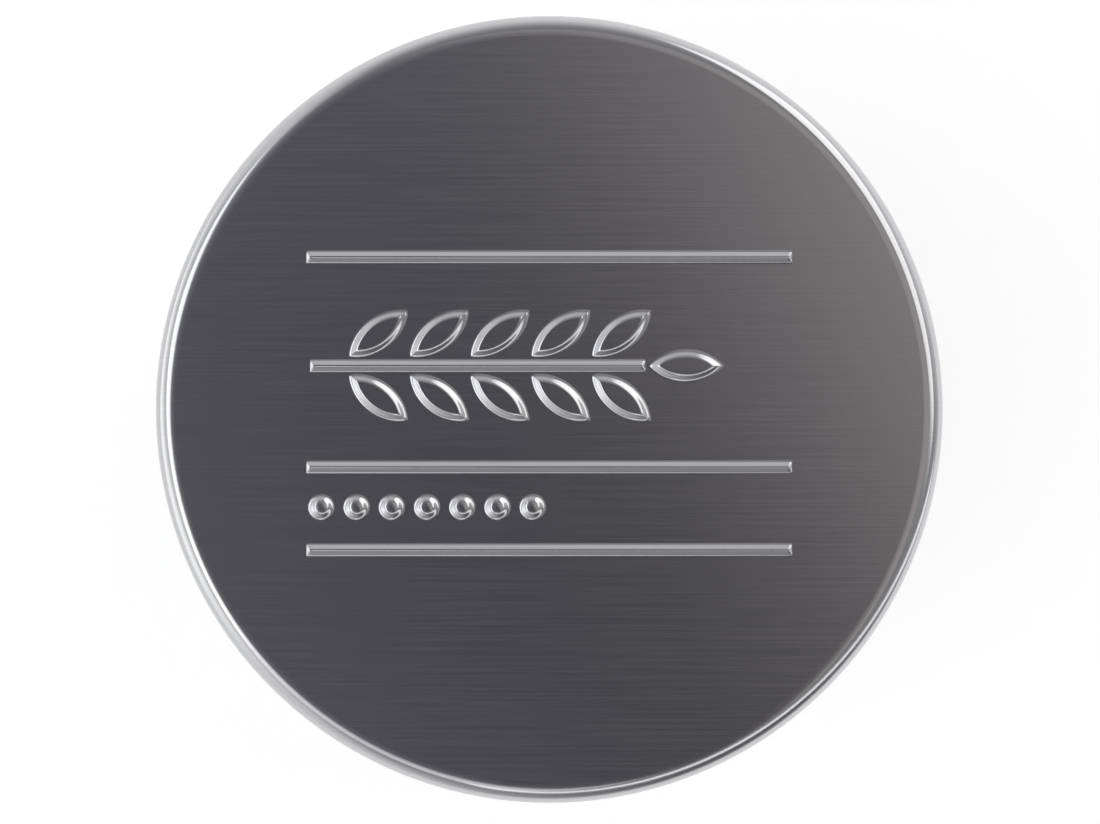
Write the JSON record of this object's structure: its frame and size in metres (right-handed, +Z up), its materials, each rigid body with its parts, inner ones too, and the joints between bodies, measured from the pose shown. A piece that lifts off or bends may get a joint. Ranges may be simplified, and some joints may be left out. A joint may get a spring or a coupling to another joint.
{
  "type": "spice jar",
  "caption": "Squat round glass spice jar with a slip-on brushed steel lid embossed with plain lines, a leaf sprig and dots, and a lift-out sifter plate in its mouth.",
  "frame": {"origin": "on the jar's axis at the table, under the middle of the glass foot", "axes": "+Z is up along the jar's axis, +X is to the right along the embossed lines, +Y is towards the top of the embossed pattern"},
  "size_m": [0.065, 0.065, 0.0735],
  "materials": {
    "clear_glass": "clear pressed glass, fire-polished",
    "silicone": "translucent milky silicone",
    "white_plastic": "natural moulded polypropylene, fine satin",
    "brushed_steel": "stainless steel brushed in one direction, along X",
    "grey_plastic": "moulded polypropylene, satin",
    "seal_disc": "smooth soft sealing sheet"
  },
  "bodies": {
    "jar": {"glass_jar": "clear_glass", "neck_ring": "silicone"},
    "sifter": {"sifter": "white_plastic"},
    "lid": {"lid_cap": "brushed_steel", "lid_liner": "grey_plastic", "lid_wad": "seal_disc"}
  },
  "joints": [
    {"name": "sifter_lift", "type": "slide", "parent": "jar", "child": "sifter", "axis": [0, 0, 1], "range_m": [0, 0.04]},
    {"name": "lid_lift", "type": "slide", "parent": "sifter", "child": "lid", "axis": [0, 0, 1], "range_m": [0, 0.045]}
  ]
}
